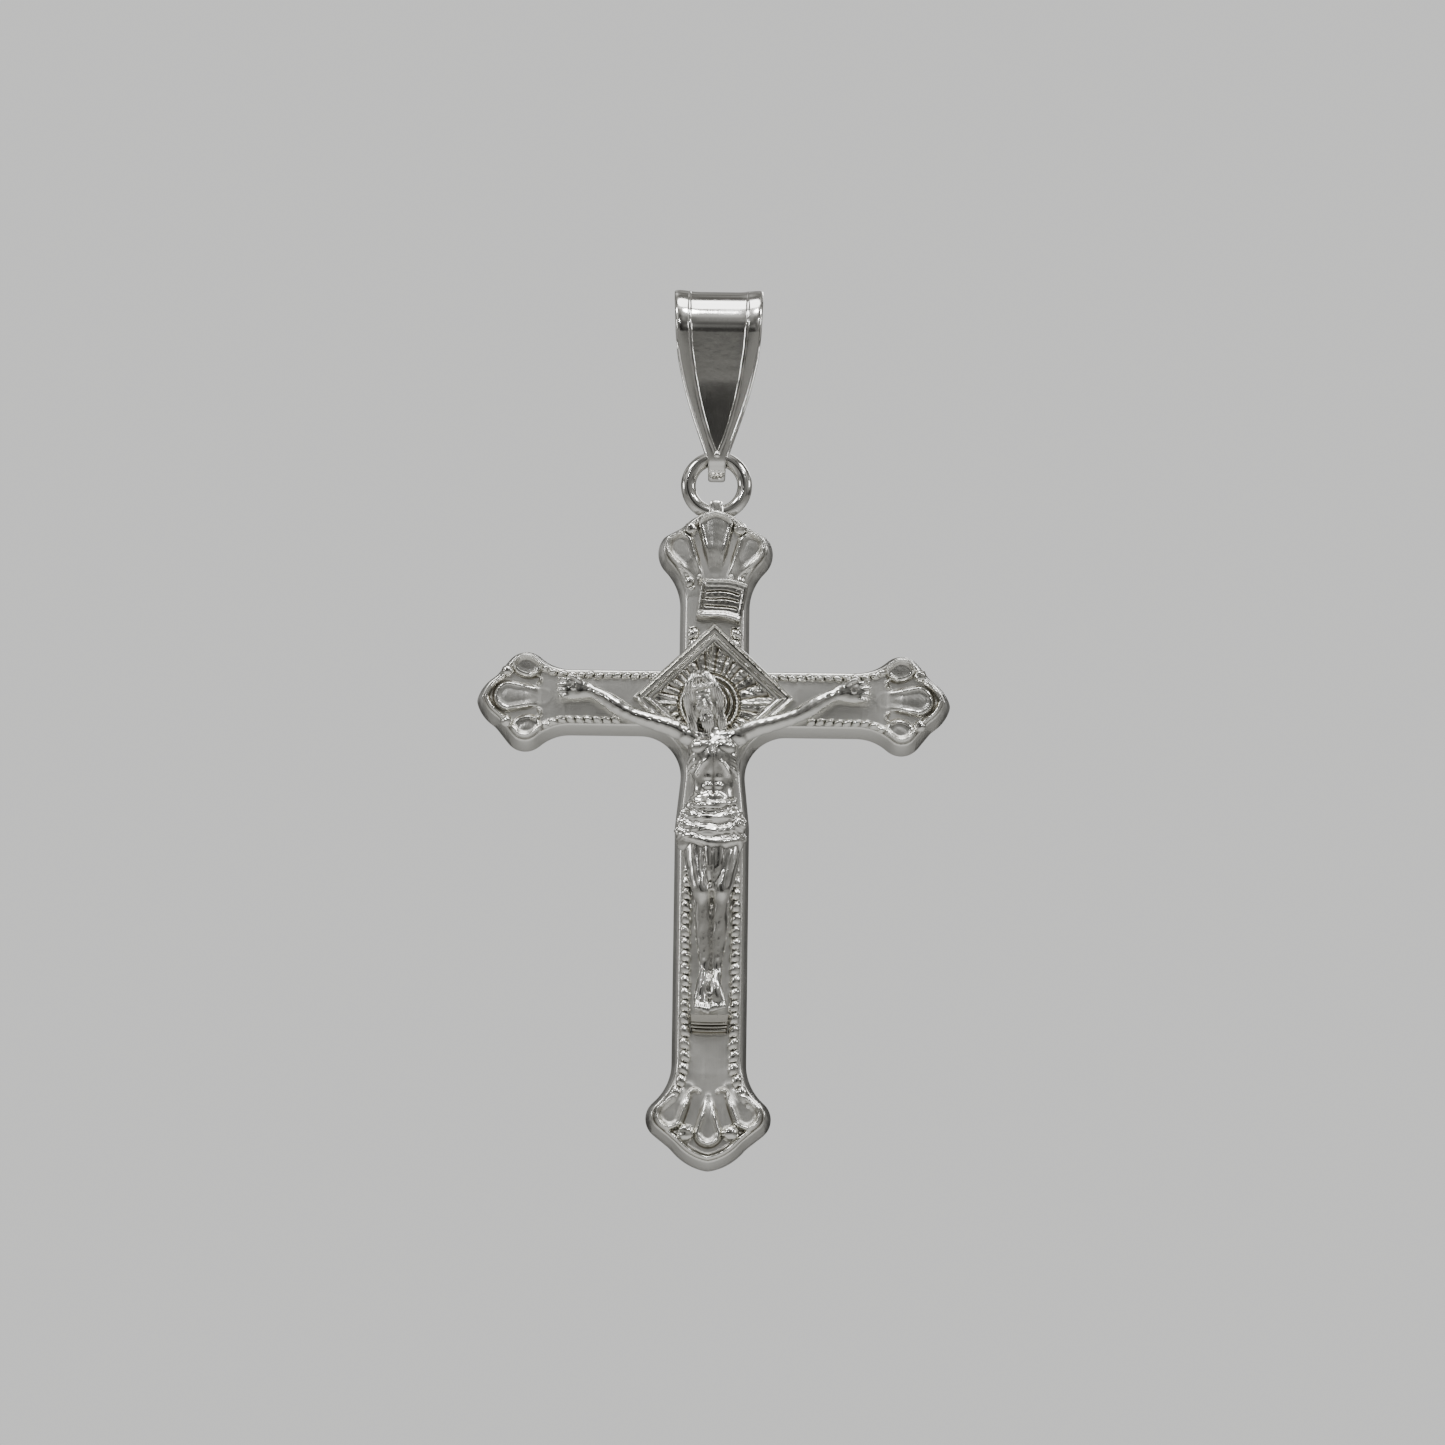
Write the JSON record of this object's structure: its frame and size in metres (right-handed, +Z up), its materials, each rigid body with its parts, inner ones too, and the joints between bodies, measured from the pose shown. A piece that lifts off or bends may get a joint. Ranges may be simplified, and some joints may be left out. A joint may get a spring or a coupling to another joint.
{
  "type": "crucifix pendant",
  "caption": "Cast silver crucifix pendant with leaf-ended limbs, beaded borders and a raised figure, hanging by a ring from a tapered folded bail for a neck chain.",
  "frame": {"origin": "centre of the bail's eye, where the chain passes through", "axes": "+X along the eye, to the viewer's right; +Y out of the flat back; +Z up"},
  "size_m": [0.0264, 0.0055, 0.0499],
  "materials": {
    "bright_silver": "mirror-polished silver",
    "satin_silver": "satin silver panels with polished walls",
    "relief_silver": "polished cast silver, darker in its creases",
    "figure_silver": "polished cast silver, darker in its creases"
  },
  "bodies": {
    "bail": {"bail_border_ridge": "bright_silver", "bail_strap": "bright_silver"},
    "ring": {"suspension_ring": "bright_silver"},
    "cross": {"bottom_finial_beads": "relief_silver", "bottom_finial_leaves": "relief_silver", "corpus": "figure_silver", "cross_plate": "satin_silver", "feet_nail": "figure_silver", "foot_rest": "relief_silver", "glory_rays": "relief_silver", "hand_nails": "figure_silver", "left_arm_bottom_border": "relief_silver", "left_arm_top_border": "relief_silver", "left_finial_beads": "relief_silver", "left_finial_leaves": "relief_silver", "lozenge_inner_frame": "relief_silver", "lozenge_outer_frame": "relief_silver", "nimbus": "relief_silver", "right_arm_bottom_border": "relief_silver", "right_arm_top_border": "relief_silver", "right_finial_beads": "relief_silver", "right_finial_leaves": "relief_silver", "shaft_left_border": "relief_silver", "shaft_right_border": "relief_silver", "titulus_scroll": "relief_silver", "top_finial_beads": "relief_silver", "top_finial_leaves": "relief_silver", "upper_left_border": "relief_silver", "upper_right_border": "relief_silver"}
  },
  "joints": [
    {"name": "ring_swing", "type": "hinge", "parent": "bail", "child": "ring", "pos_m": [0, 0, -0.00717], "axis": [1, 0, 0], "range_deg": [-100, 100]},
    {"name": "cross_sway", "type": "hinge", "parent": "ring", "child": "cross", "pos_m": [0, 0, -0.00875], "axis": [0, 1, 0], "range_deg": [-60, 60]}
  ]
}
